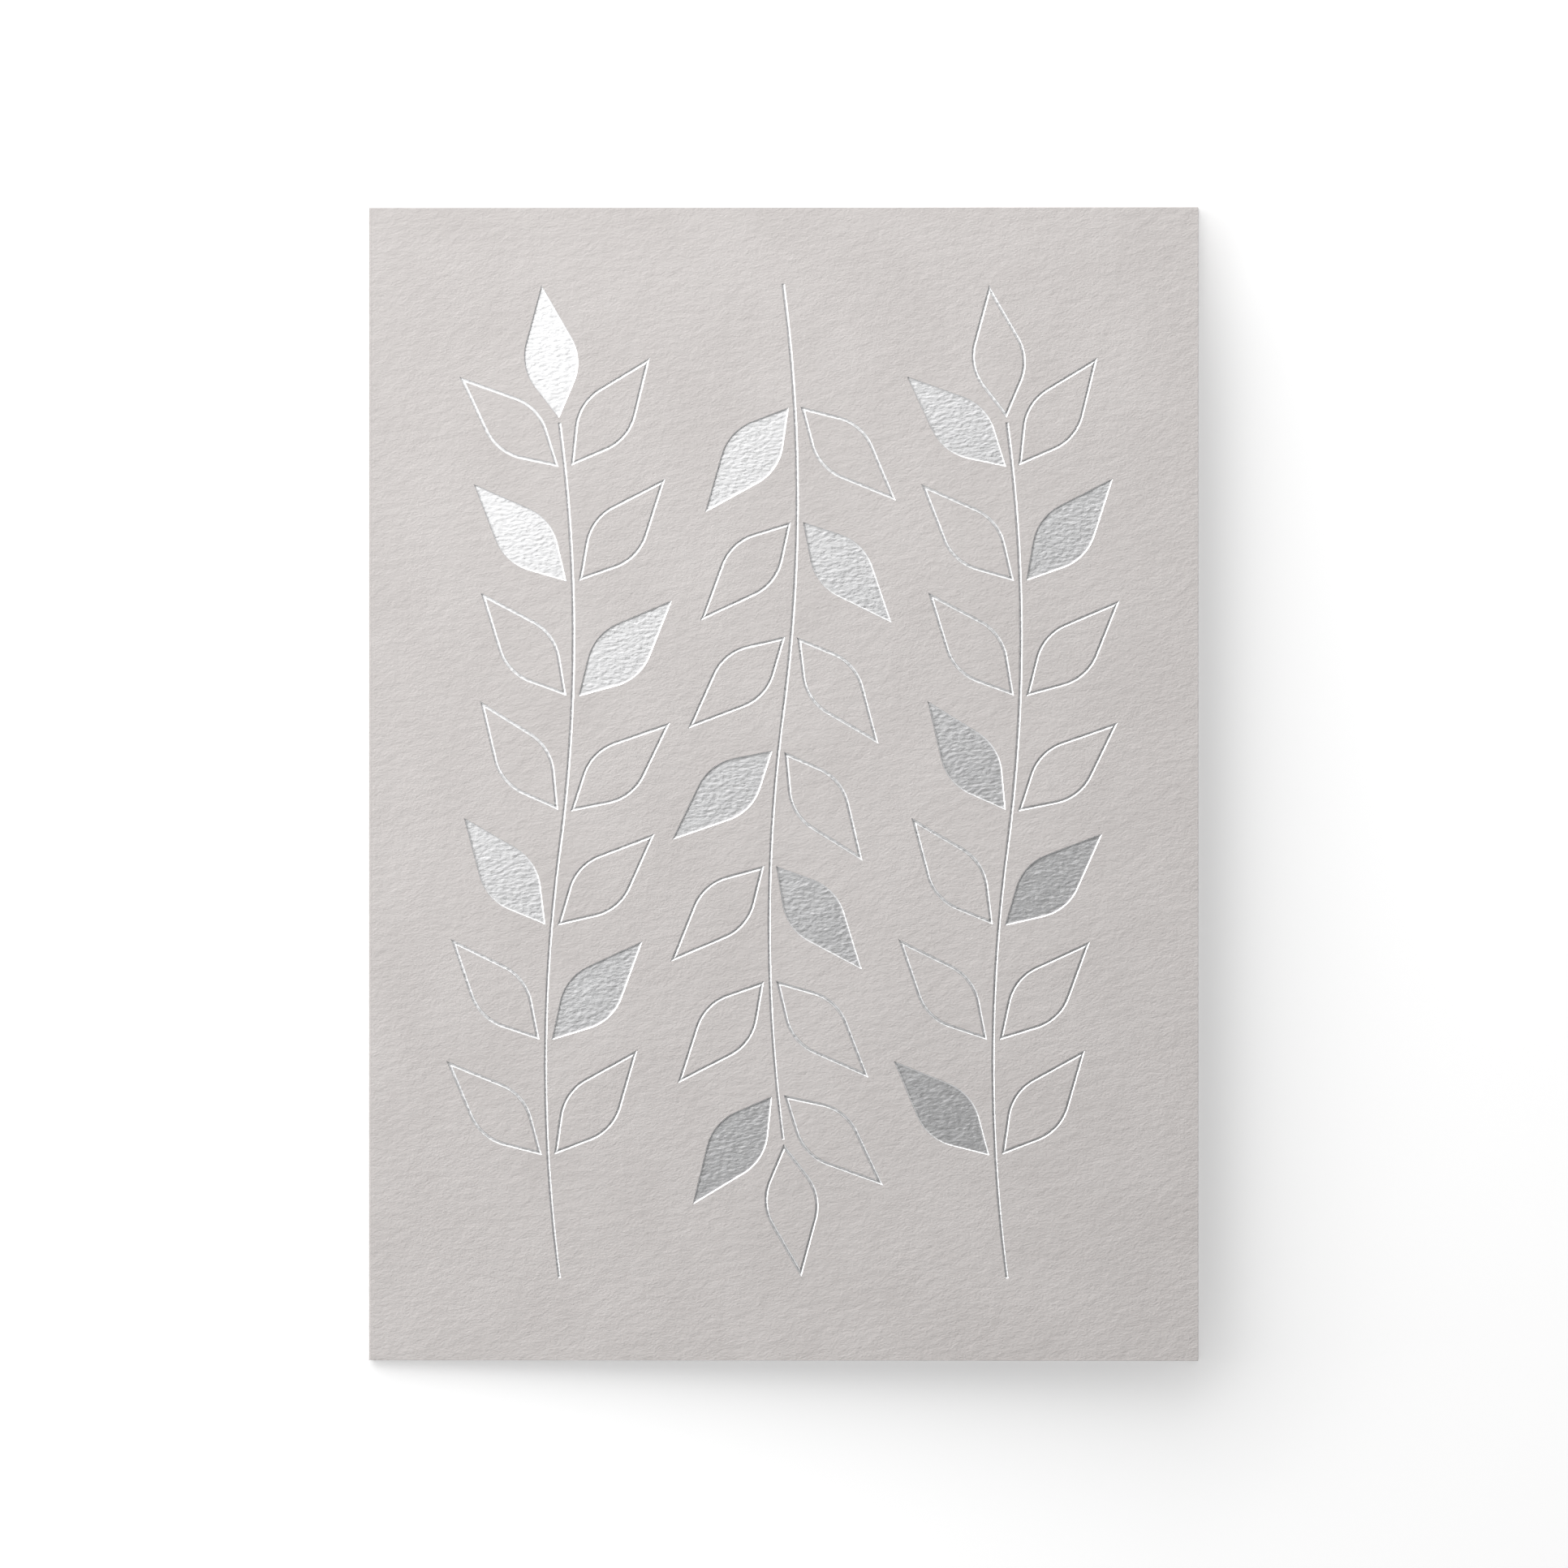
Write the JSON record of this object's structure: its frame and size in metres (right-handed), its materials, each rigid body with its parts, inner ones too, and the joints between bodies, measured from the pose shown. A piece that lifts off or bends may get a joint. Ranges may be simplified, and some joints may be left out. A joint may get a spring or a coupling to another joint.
{
  "type": "greeting card",
  "caption": "Folded card of heavy textured stock, lying with its cover slightly open, with sprigs of leaves debossed and foiled on the cover.",
  "frame": {"origin": "on the table, under the middle of the back panel", "axes": "+X from the fold to the opening edges, +Y up the cover, +Z out of the table through the cover"},
  "size_m": [0.1142, 0.1588, 0.0073],
  "materials": {
    "card_stock": "matte felt-marked stock, pale warm grey",
    "foil": "bright silver hot-stamped foil that follows the texture of the paper"
  },
  "bodies": {
    "root": {"card": "card_stock", "silver_foil": "foil"}
  },
  "joints": []
}
